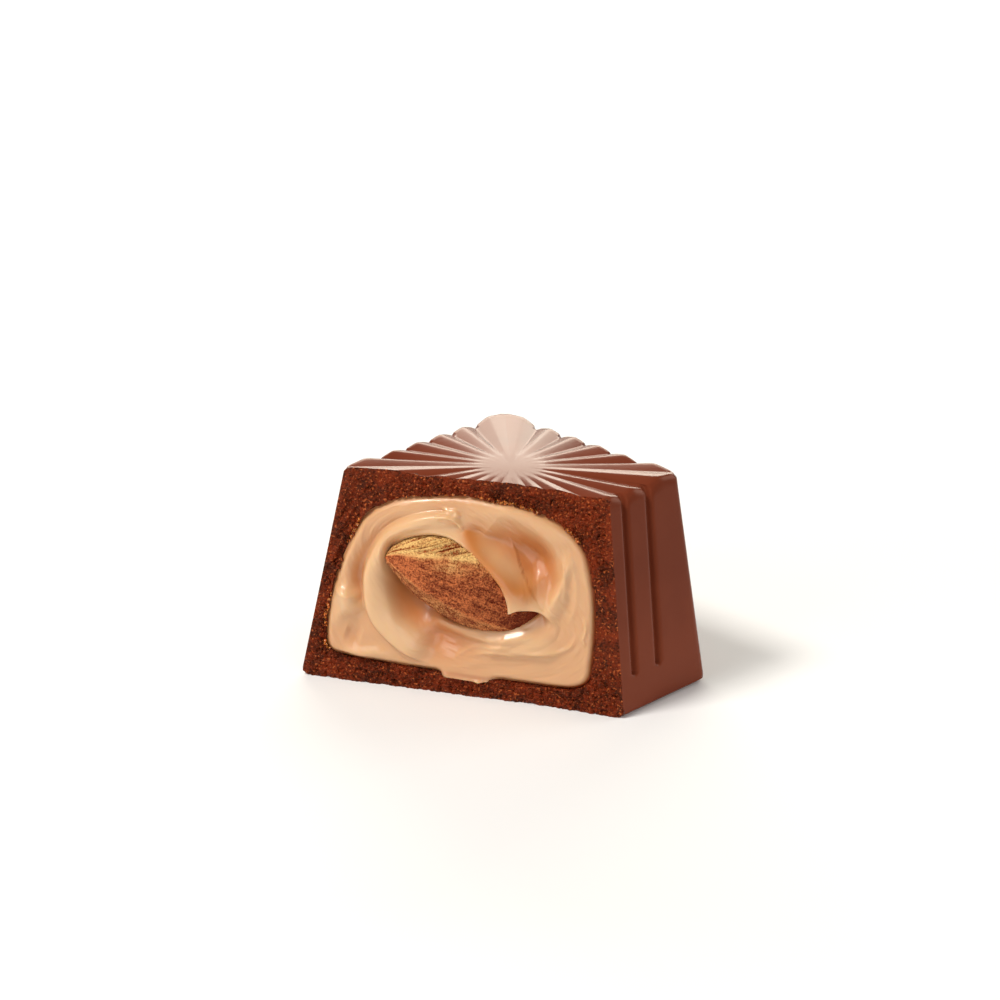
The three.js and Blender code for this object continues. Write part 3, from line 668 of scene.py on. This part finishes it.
# ---------------------------------------------------------------- the cream filling
# Soft nut cream that fills the shell, swirled round the almond: a broad ribbon on the left, a tongue
# that hangs down over the almond, lips and folds below it, and a little run over the shell's floor.
# Each row of the mouth's edge has its place, how far it stands out of the cut, and the direction in
# degrees of the filling's outline that it is joined to.
MOUTH = np.array([
    (1.6, 10.0, 1.6, 16), (1.45, 11.35, 1.9, 26), (0.8, 12.85, 2.0, 37), (-0.25, 14.1, 2.0, 48),
    (-1.5, 15.1, 1.75, 60), (-2.95, 16.15, 1.4, 74), (-4.55, 16.9, 1.0, 90), (-6.25, 17.15, 0.9, 106),
    (-7.9, 16.85, 0.8, 120), (-9.4, 16.2, 0.5, 134), (-10.3, 15.35, 0.0, 146), (-10.3, 14.4, -0.8, 158),
    (-9.6, 13.0, -1.8, 172), (-8.5, 11.2, -2.4, 188), (-7.3, 9.9, -2.4, 202), (-6.4, 8.8, -1.7, 216),
    (-5.4, 7.95, -0.4, 230), (-3.7, 7.6, 0.1, 246), (-2.0, 7.5, 0.3, 262), (-0.35, 7.55, 0.3, 276),
    (1.3, 7.9, 0.2, 290), (2.85, 8.55, 0.0, 306), (4.1, 9.4, -0.2, 324), (4.45, 10.0, -0.5, 338),
    (3.85, 10.45, -0.2, 346), (2.85, 10.55, 0.5, 354), (2.0, 10.3, 1.1, 362), (1.6, 10.0, 1.6, 376),
])
MOUTH_MIDDLE = np.array([-3.5, 11.3])
MOUTH_EDGE = 0.5
MOUTH_DEPTH = 3.6
CREAM_LEVEL = 0.2
ALMOND_COVER = 0.95
EDGE_ROUND = (0.9, 0.55)
AROUND = 640
RINGS = 104


def through(rows, t):
    """A smooth curve through rows of numbers, each column carried along with the others."""
    place = t * (len(rows) - 1)
    first = np.minimum(place.astype(int), len(rows) - 2)
    u = (place - first)[:, None]
    a, b, c, d = (rows[np.clip(first + step, 0, len(rows) - 1)] for step in (-1, 0, 1, 2))
    return b + 0.5 * u * (c - a + u * (2 * a - 5 * b + 4 * c - d + u * (3 * (b - c) + d - a)))


def from_path(path, x, z):
    """Distance from a path, the side of it and how far along it, for every point."""
    start, step = path[:-1], np.diff(path, axis=0)
    flat_x, flat_z = x.ravel(), z.ravel()
    nearest = np.full(flat_x.shape, np.inf)
    side = np.ones(flat_x.shape)
    along = np.zeros(flat_x.shape)
    for n, ((sx, sz), (dx, dz)) in enumerate(zip(start, step)):
        t = np.clip(((flat_x - sx) * dx + (flat_z - sz) * dz) / (dx * dx + dz * dz), 0, 1)
        away = np.hypot(flat_x - sx - t * dx, flat_z - sz - t * dz)
        closer = away < nearest
        nearest = np.where(closer, away, nearest)
        side = np.where(closer, np.sign(dx * (flat_z - sz) - dz * (flat_x - sx)), side)
        along = np.where(closer, (n + t) / len(step), along)
    return nearest.reshape(x.shape), side.reshape(x.shape), along.reshape(x.shape)


def blend_max(a, b, k):
    near = np.maximum(k - np.abs(a - b), 0) / k
    return np.maximum(a, b) + near * near * k / 4


def lip_height(x, z, path, crest, inner, inner_drop, outer, fade):
    """A lip of cream along a path, with its own width and fall on the left of the path and on the right."""
    curve = through(np.array(path, float), np.linspace(0, 1, 97))
    nearest, side, along = from_path(curve, x, z)
    ends = 1 - smooth(0, fade[0], along) + smooth(1 - fade[1], 1, along)
    width = np.where(side > 0, inner, outer)
    drop = np.where(side > 0, inner_drop, 4.0)
    height = lerp(crest[0], crest[1], along)
    return height - 3 * ends - drop * (1 - np.exp(-((nearest / width) ** 2)))


LIPS = (
    dict(path=[(-0.6, 20), (-4.2, 19.4), (-8, 18.7), (-11.2, 16.9), (-12.9, 14.0), (-13.4, 10.6),
               (-12.4, 7.2), (-9.8, 4.7), (-6.4, 3.1), (-2.4, 1.9)],
         crest=(1.0, 0.9), inner=3.4, inner_drop=2.6, outer=1.0, fade=(0.15, 0.2)),
    dict(path=[(-5.4, 7.4), (-3.0, 6.9), (-0.4, 6.9), (2.8, 7.6), (5.2, 9.4), (6.5, 12), (7.2, 15.2),
               (6.8, 18.2)],
         crest=(0.1, 0.9), inner=1.4, inner_drop=3.0, outer=2.6, fade=(0.35, 0.3)),
    dict(path=[(-3.6, 4.6), (-1.6, 5.2), (0.8, 5.6), (4.0, 5.9), (7.6, 6.8), (9.2, 9.0)],
         crest=(0.5, 0.7), inner=1.8, inner_drop=0.8, outer=1.8, fade=(0.35, 0.35)),
)
# Finer ridges and valleys, each with its path, its height, its width and the share that fades at its ends.
STROKES = (
    ([(-5.4, 19.3), (-7.1, 18.5), (-9.2, 17.5), (-10.8, 16.4), (-11.9, 14.8), (-12.5, 12.6), (-12.2, 10.6),
      (-11.5, 8.8), (-10.3, 7.1), (-8.4, 5.4), (-6.1, 4.0)], 0.3, 1.3, 0.2),
    ([(-7.5, 19.3), (-10.2, 17.9), (-12.2, 16.1), (-13.6, 14.0), (-14.4, 11.8),
      (-14.2, 10.2), (-13.5, 8.2)], -0.5, 0.7, 0.25),
    ([(-5.8, 19.9), (-5.1, 19.8), (-4.4, 19.8), (-3.9, 19.2)], 0.34, 0.24, 0.3),
    ([(-4.8, 19.4), (-4.1, 18.7), (-3.5, 17.9)], 0.3, 0.26, 0.3),
    ([(-6.4, 19.1), (-5.5, 19.4), (-4.5, 19.1)], 0.2, 0.22, 0.3),
    ([(-4.2, 18.5), (-2.9, 17.3), (-1.7, 15.9), (-0.2, 13.9), (0.9, 12.4), (1.5, 10.9)], 0.35, 0.5, 0.2),
    ([(-3.2, 18.9), (-1.5, 17.0), (0.1, 15.1), (1.8, 13.4), (3.6, 11.8)], -0.75, 1.0, 0.3),
    ([(-1.3, 18.1), (0.8, 16.5), (2.9, 14.8), (4.4, 13.2)], -0.9, 2.3, 0.3),
    ([(-3.5, 20.0), (1.4, 20.1), (5.2, 18.8), (7.4, 16.9)], 0.35, 1.0, 0.3),
    ([(7.5, 17.0), (8.2, 14.0), (8.2, 10.9), (7.3, 8.7)], 0.12, 0.3, 0.35),
    ([(6.6, 16.4), (7.2, 13.6), (7.0, 11.0)], 0.1, 0.2, 0.35),
    ([(9.2, 10.6), (9.5, 9.0), (9.3, 7.9), (9.7, 7.1)], 0.2, 0.2, 0.3),
    ([(-3.9, 3.9), (-3.3, 4.6), (-1.9, 5.5), (1.0, 5.9), (2.1, 6.0)], 0.16, 0.24, 0.3),
    ([(2.0, 5.5), (4.1, 5.7), (6.1, 5.9), (8.0, 7.0), (8.7, 8.9)], 0.18, 0.26, 0.3),
    ([(-2.2, 4.7), (0.4, 5.2), (3.0, 5.0)], 0.12, 0.22, 0.3),
    ([(-5.7, 7.7), (-3.3, 7.0), (-1.6, 6.7), (0.0, 6.75), (2.6, 7.5), (4.4, 8.9), (5.2, 10.4)],
     0.34, 0.4, 0.2),
    ([(-4.5, 6.2), (-1.6, 5.85), (0.5, 5.95), (3.0, 6.5), (5.0, 7.8)], -0.2, 0.45, 0.3),
    ([(7.0, 17.4), (7.3, 15.7), (6.9, 14.0), (6.1, 12.1), (5.3, 10.4)], 0.35, 0.55, 0.3),
    ([(-15.8, 12.6), (-15.3, 9.5), (-16.1, 7.3), (-17.1, 5.5)], 0.3, 0.7, 0.35),
    ([(-17.2, 10.1), (-15.3, 9.7), (-13.9, 9.2)], 0.4, 0.4, 0.35),
    ([(-16.8, 10.0), (-15.3, 8.9), (-14.4, 7.4)], 0.6, 1.0, 0.35),
    ([(-15.6, 5.4), (-13.8, 4.9)], -0.3, 1.0, 0.4),
    ([(-16.2, 3.6), (-14.0, 3.3), (-12.0, 3.6), (-10.0, 3.2)], 0.42, 0.65, 0.35),
    ([(-13.6, 18.4), (-15.0, 15.0), (-16.2, 11.0)], 0.25, 0.8, 0.35),
    ([(-5.3, 2.3), (-4.2, 2.0), (-2.6, 1.8), (-1.7, 1.7), (-0.7, 1.9)], 0.3, 0.3, 0.2),
)
# Path of a painted shade: a deeper orange down the valley beside the tongue.
PAINTED_SHADE_PATH = ((-3.5, 18.6), (-2.5, 17.0), (-1.6, 15.7), (-0.2, 14.4), (1.7, 13.0), (3.3, 12.4))
BOWLS = (
    dict(middle=(-8, 8.8), length=8.5, width=5.2, tilt=-0.5, depth=1.8),
    dict(middle=(3.6, 14.4), length=3.4, width=4.8, tilt=0.35, depth=1.2),
)


def bowl_depth(x, z, middle, length, width, tilt, depth):
    dx, dz = x - middle[0], z - middle[1]
    along = (dx * math.cos(tilt) + dz * math.sin(tilt)) / length
    across = (dz * math.cos(tilt) - dx * math.sin(tilt)) / width
    return depth * (1 - smooth(0.25, 1, np.hypot(along, across)))


def strokes(x, z):
    """Height of the finer ridges and valleys together."""
    total = np.zeros_like(x)
    for path, height, width, fade in STROKES:
        nearest, _, along = from_path(through(np.array(path, float), np.linspace(0, 1, 41)), x, z)
        ends = smooth(0, fade, along) * smooth(1, 1 - fade, along)
        total = total + height * ends * np.exp(-((nearest / width) ** 2))
    return total


def cream_height(x, z, to_edge):
    height = CREAM_LEVEL - sum(bowl_depth(x, z, **bowl) for bowl in BOWLS)
    for lip in LIPS:
        height = blend_max(height, lip_height(x, z, **lip), 0.5)
    above = smooth(9, 13, z)
    covered = smooth(-4.0, lerp(0.5, -1.0, above), x)
    cover = almond_front(x, z, 2 * ALMOND_COVER) - ALMOND_COVER - 4 * (1 - covered)
    height = blend_max(height, cover, 2.4)
    spill = smooth(-6.2, -4.8, x) * smooth(1.2, -0.6, x) * smooth(4.5, 2.5, z)
    edge = 1 - smooth(0, EDGE_ROUND[0], to_edge)
    return height - EDGE_ROUND[1] * edge * edge * (1 - spill)


def outline_point(degrees):
    """Places on the filling's outline in directions from the middle of the mouth."""
    corners = FILLING_OUTLINE - MOUTH_MIDDLE
    angles = np.degrees(np.arctan2(corners[:, 1], corners[:, 0])) % 360
    order = np.argsort(angles)
    x = np.interp(degrees % 360, angles[order], corners[order, 0], period=360)
    z = np.interp(degrees % 360, angles[order], corners[order, 1], period=360)
    return np.stack([x, z], axis=1) + MOUTH_MIDDLE


def cream_mesh():
    mouth = through(MOUTH, np.arange(AROUND) / AROUND)
    rim = outline_point(mouth[:, 3])
    drip = smooth(-5.7, -5.0, rim[:, 0]) * smooth(0.1, -0.6, rim[:, 0]) * (rim[:, 1] < 5)
    wavy = 0.12 * noise(rim[:, 0] / 0.7, rim[:, 0] * 0, 31)
    rim = rim + np.stack([0 * drip, -drip * (0.75 + wavy)], axis=1)
    length = np.linalg.norm(rim - mouth[:, :2], axis=1)
    near = np.array([0, 0.02, 0.06, 0.12, 0.2, 0.3, 0.42, 0.56])
    rest = np.linspace(0, 1, RINGS - len(near) + 1)[1:] ** 0.92
    shares = [np.minimum(step / length, 1) for step in near]
    start = near[-1] / length
    shares += [lerp(start, 1.0, share) for share in rest]
    shares = np.array(shares)
    x = lerp(mouth[None, :, 0], rim[None, :, 0], shares)
    z = lerp(mouth[None, :, 1], rim[None, :, 1], shares)
    closed = np.concatenate([FILLING_OUTLINE[::3], FILLING_OUTLINE[:1]])
    to_edge = from_path(closed, x, z)[0]
    from_mouth = shares * length[None, :]
    inset = np.clip(MOUTH_EDGE - from_mouth, 0, MOUTH_EDGE)
    rolled = MOUTH_EDGE - np.sqrt(MOUTH_EDGE ** 2 - inset ** 2)
    detail = strokes(x, z)
    turn = (mouth[None, :, 3] + 0 * shares) / 360
    satin = 0.05 * noise(turn * 30, from_mouth / 0.5, 41, 30)
    satin = satin + 0.025 * noise(turn * 60, from_mouth / 0.22, 42, 60)
    height = cream_height(x, z, to_edge) + detail + satin * smooth(0, 1.0, to_edge)
    height = lerp(mouth[None, :, 2], height, smooth(0.02, 0.35, shares)) - rolled
    drop = smooth(0.45, 0.0, np.hypot(x - rim[None, :, 0], z - rim[None, :, 1])) * drip[None, :]
    height = height - 0.5 * drop
    rows = [np.stack([x[k], cut_depth(x[k], z[k]) - height[k], z[k]], axis=1) for k in range(len(shares))]
    inner = lerp(mouth[:, :2], MOUTH_MIDDLE, 0.2)
    floor = np.stack([inner[:, 0], cut_depth(*inner.T) + MOUTH_DEPTH, inner[:, 1]], axis=1)
    flat_rim = outline_point(mouth[:, 3])
    hidden = np.stack([flat_rim[:, 0], cut_depth(*flat_rim.T) + 1.2, flat_rim[:, 1]], axis=1)
    back = wall_behind(flat_rim)
    rows = [floor] + rows + [hidden, back]
    faces = []
    for row in range(len(rows) - 1):
        faces += strip(row * AROUND, (row + 1) * AROUND, AROUND)
    faces.append(tuple(range(AROUND)))
    last = (len(rows) - 1) * AROUND
    faces.append(tuple(reversed(range(last, last + AROUND))))
    # Painted shade in the gap where the cream meets the chocolate: a deep orange-brown edge, stronger towards
    # the right wall.
    painted_edge_shade = (1 - smooth(0.05, 0.42, to_edge)) * lerp(0.35, 1.0, smooth(2, 9, x))
    # Painted shade: a deeper orange along that valley and in the deepest parts of the cream.
    nearest, _, along = from_path(through(np.array(PAINTED_SHADE_PATH), np.linspace(0, 1, 41)), x, z)
    painted_valley_shade = smooth(0.0, 0.12, along) * np.exp(-((nearest / lerp(0.8, 1.3, along)) ** 2))
    painted_valley_shade = np.minimum(painted_valley_shade + 0.15 * smooth(0.2, -1.4, height), 1.0)
    pad = np.zeros((2, AROUND))
    marks = [np.concatenate([pad[:1], values, pad]) for values in (height, painted_edge_shade, painted_valley_shade)]
    return np.concatenate(rows), faces, marks


points, faces, (height, painted_edge_shade, painted_valley_shade) = cream_mesh()
cream = new_object("nut_cream", new_mesh("nut_cream", points, faces))
set_attribute(cream.data, "height", height)
set_attribute(cream.data, "painted_edge_shade", painted_edge_shade)
set_attribute(cream.data, "painted_valley_shade", painted_valley_shade)
cream.data.shade_smooth()
settle(cream)

silk, tone, surface = new_material(
    "nut_cream", Specular_IOR_Level=0.5, Coat_Weight=0.4, Coat_Roughness=0.16, Subsurface_Weight=0.4,
    Subsurface_Radius=(1.0, 0.45, 0.2), Subsurface_Scale=0.0014)
place = tone.node("TexCoord", output="Object")
height = tone.node("Attribute", output="Fac", attribute_name="height")
painted_edge_shade = tone.node("Attribute", output="Fac", attribute_name="painted_edge_shade")
painted_valley_shade = tone.node("Attribute", output="Fac", attribute_name="painted_valley_shade")
cloud = tone.noise(place, 160.0, 2.0)
lit = (height + 0.6 * cloud).between(-1.0, 1.6)
body = lit.mix(linear(190, 120, 70), linear(214, 174, 130))
# Painted shade: a deeper orange down the valley beside the tongue and in the deepest hollows.
body_with_painted_shade = (0.85 * painted_valley_shade).mix(body, linear(184, 104, 20))
# Painted shade: a deep orange-brown line along the cream's edge, in the gap against the chocolate.
feed(tone, surface,
     Base_Color=painted_edge_shade.mix(body_with_painted_shade, linear(150, 62, 18)),
     Roughness=0.34 + 0.12 * cloud,
     Normal=tone.bump(cloud, 0.15, 0.0006))
cream.data.materials.append(silk)
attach(cream, "root")
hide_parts("filling")


# ---------------------------------------------------------------- crumbs and seeping fat
# The knife leaves crumbs of chocolate along the broken edge round the cream, and small golden drops of
# fat between the cream and the chocolate, most of them along the left wall and under the top.


def border_band(name, inner, outer):
    """A strip of the cut along the filling's left and upper border, to scatter pieces over."""
    outline, facing = FILLING_OUTLINE, outward(FILLING_OUTLINE)
    points = []
    for away in (inner, outer):
        x, z = (outline + away * facing).T
        points.append(np.stack([x, cut_depth(x, z) - crumb_height(x, z), z], axis=1))
    faces = [face for face in strip(0, len(outline), len(outline))
             if outline[face[0], 1] > 3.2 and outline[face[0], 0] < 8.8]
    band = new_object(name, new_mesh(name, np.concatenate(points), faces))
    settle(band)
    return band


def scatter_tree(name, rounded):
    """Spreads small lumps over a surface in clumps, each turned and stretched at random."""
    tree = bpy.data.node_groups.new(name, "GeometryNodeTree")
    tree.interface.new_socket("Geometry", in_out="OUTPUT", socket_type="NodeSocketGeometry")
    kinds = dict(Geometry="Geometry", Density="Float", Smallest="Float", Largest="Float", Seed="Int",
                 Material="Material")
    for label, kind in kinds.items():
        tree.interface.new_socket(label, in_out="INPUT", socket_type="NodeSocket" + kind)

    def node(kind, inputs, **settings):
        made = tree.nodes.new(kind)
        for key, value in settings.items():
            setattr(made, key, value)
        for key, value in inputs.items():
            if isinstance(value, bpy.types.NodeSocket):
                tree.links.new(value, made.inputs[key])
            else:
                made.inputs[key].default_value = value
        return made

    given = node("NodeGroupInput", {}).outputs
    clump = node("ShaderNodeTexNoise", {"Scale": 600.0, "Detail": 0.0})
    thick = node("ShaderNodeMapRange", {0: clump.outputs[0], 1: 0.45, 2: 0.6})
    density = node("ShaderNodeMath", {0: given["Density"], 1: thick.outputs[0]}, operation="MULTIPLY")
    spots = node("GeometryNodeDistributePointsOnFaces", {
        "Mesh": given["Geometry"], "Density": density.outputs[0], "Seed": given["Seed"]})
    lump = node("GeometryNodeMeshIcoSphere", {"Radius": 1.0, "Subdivisions": 2 if rounded else 1})
    dent = node("ShaderNodeTexNoise", {"Scale": 1.6})
    dented = node("GeometryNodeSetPosition", {
        "Geometry": lump.outputs["Mesh"],
        "Offset": node("ShaderNodeVectorMath", {
            0: node("ShaderNodeVectorMath", {0: dent.outputs["Color"], 1: (0.5, 0.5, 0.5)},
                    operation="SUBTRACT").outputs[0],
            "Scale": 0.5 if rounded else 1.6}, operation="SCALE").outputs[0]})
    turn = node("FunctionNodeRandomValue", {1: (6.28, 6.28, 6.28), "Seed": given["Seed"]},
                data_type="FLOAT_VECTOR")
    size = node("FunctionNodeRandomValue", {
        0: given["Smallest"], 1: given["Largest"], "Seed": given["Seed"]}, data_type="FLOAT_VECTOR")
    lumps = node("GeometryNodeInstanceOnPoints", {
        "Points": spots.outputs["Points"], "Instance": dented.outputs["Geometry"],
        "Rotation": turn.outputs[0], "Scale": size.outputs[0]})
    whole = node("GeometryNodeRealizeInstances", {"Geometry": lumps.outputs["Instances"]})
    coloured = node("GeometryNodeSetMaterial", {
        "Geometry": whole.outputs["Geometry"], "Material": given["Material"]})
    tree.links.new(coloured.outputs["Geometry"], node("NodeGroupOutput", {}).inputs[0])
    return tree


def scatter(piece, tree, material, density, smallest, largest, seed):
    spread = piece.modifiers.new("scatter", "NODES")
    spread.node_group = tree
    values = dict(Density=density / MM ** 2, Smallest=smallest * MM, Largest=largest * MM, Seed=seed,
                  Material=material)
    for item in tree.interface.items_tree:
        if item.in_out == "INPUT" and item.name in values:
            spread[item.identifier] = values[item.name]
    evaluated = piece.evaluated_get(bpy.context.evaluated_depsgraph_get())
    mesh = bpy.data.meshes.new_from_object(evaluated)
    piece.modifiers.clear()
    piece.data = mesh


crumbs = border_band("chocolate_crumbs", -0.12, 0.7)
scatter(crumbs, scatter_tree("crumbs", False), crumbly, 12.0, 0.05, 0.26, 4)
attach(crumbs, "root")
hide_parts("shell")

amber, tone, surface = new_material(
    "seeping_fat", Base_Color=linear(184, 100, 34), Roughness=0.18, Subsurface_Weight=0.5,
    Subsurface_Radius=(1.0, 0.5, 0.15), Subsurface_Scale=0.0004)
fat = border_band("seeping_fat", -0.12, 0.16)
scatter(fat, scatter_tree("drops", True), amber, 32.0, 0.03, 0.18, 9)
fat.data.shade_smooth()
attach(fat, "root")
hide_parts("filling")


# ---------------------------------------------------------------- the studio
# A pale floor, a wide soft light behind the praline, a small key light above it on the left, and weaker
# ones in front and at the side. Lengths here are in metres.
FLOOR_HALF = 3
floor_corners = [(x * FLOOR_HALF, y * FLOOR_HALF, 0) for x, y in ((-1, -1), (1, -1), (1, 1), (-1, 1))]
floor_mesh = new_mesh("floor", floor_corners, [(0, 1, 2, 3)])
floor = new_object("floor", floor_mesh)
paper, tone, surface = new_material("pale_paper", Base_Color=(0.86, 0.87, 0.89, 1.0), Roughness=0.8)
floor.data.materials.append(paper)

world = bpy.data.worlds.new("studio")
bpy.context.scene.world = world
world.use_nodes = True
world.node_tree.nodes["Background"].inputs["Color"].default_value = (1.0, 0.95, 0.88, 1.0)
world.node_tree.nodes["Background"].inputs["Strength"].default_value = 0.3


def soft_light(name, place, target, width, height, power, colour=(1.0, 1.0, 1.0)):
    lamp = bpy.data.lights.new(name, "AREA")
    lamp.shape = "RECTANGLE"
    lamp.size = width
    lamp.size_y = height
    lamp.energy = power
    lamp.color = colour
    light = new_object(name, lamp)
    aim = Vector(target) - Vector(place)
    light.matrix_world = Matrix.Translation(place) @ aim.to_track_quat("-Z", "Y").to_matrix().to_4x4()


WARM = (1.0, 0.95, 0.87)
WARMER = (1.0, 0.95, 0.8)
PRALINE = (0.0, 0.0, 0.01)
soft_light("back_light", (-0.15, 0.66, 0.24), PRALINE, 0.76, 0.26, 4.0, WARMER)
soft_light("key_light", (-0.24, -0.2, 0.46), PRALINE, 0.12, 0.12, 2.3, WARM)
soft_light("front_light", (0.3, -0.6, 0.2), PRALINE, 0.4, 0.4, 0.9)
soft_light("side_light", (0.5, 0.32, 0.22), (0.1, 0.13, 0.0), 0.3, 0.3, 1.1, WARM)
soft_light("gloss_light", (-0.3, -0.45, 0.3), PRALINE, 0.24, 0.24, 0.6)

# The camera stands at the photograph's place, a little above the praline and to the right of the cut.
# Its distance and the place it looks at, across and up, are in millimetres.
AZIMUTH = math.radians(12.683)
ELEVATION = math.radians(21.833)
ROLL = math.radians(2.002)
DISTANCE = 291.637
LENS = 101.233
AIM = (-0.3406, 18.305)

back = np.array([math.sin(AZIMUTH) * math.cos(ELEVATION), -math.cos(AZIMUTH) * math.cos(ELEVATION),
                 math.sin(ELEVATION)])
level = np.array([math.cos(AZIMUTH), math.sin(AZIMUTH), 0.0])
upright = np.cross(back, level)
right = level * math.cos(ROLL) + upright * math.sin(ROLL)
up = upright * math.cos(ROLL) - level * math.sin(ROLL)
spot = (PLACE + DISTANCE * back + AIM[0] * right + AIM[1] * up) * MM
camera = new_object("camera", bpy.data.cameras.new("camera"))
camera.matrix_world = Matrix((
    (right[0], up[0], back[0], spot[0]), (right[1], up[1], back[1], spot[1]),
    (right[2], up[2], back[2], spot[2]), (0, 0, 0, 1)))
camera.data.lens = LENS
camera.data.clip_start = 0.01
bpy.context.scene.camera = camera
bpy.context.scene.view_settings.view_transform = "Standard"
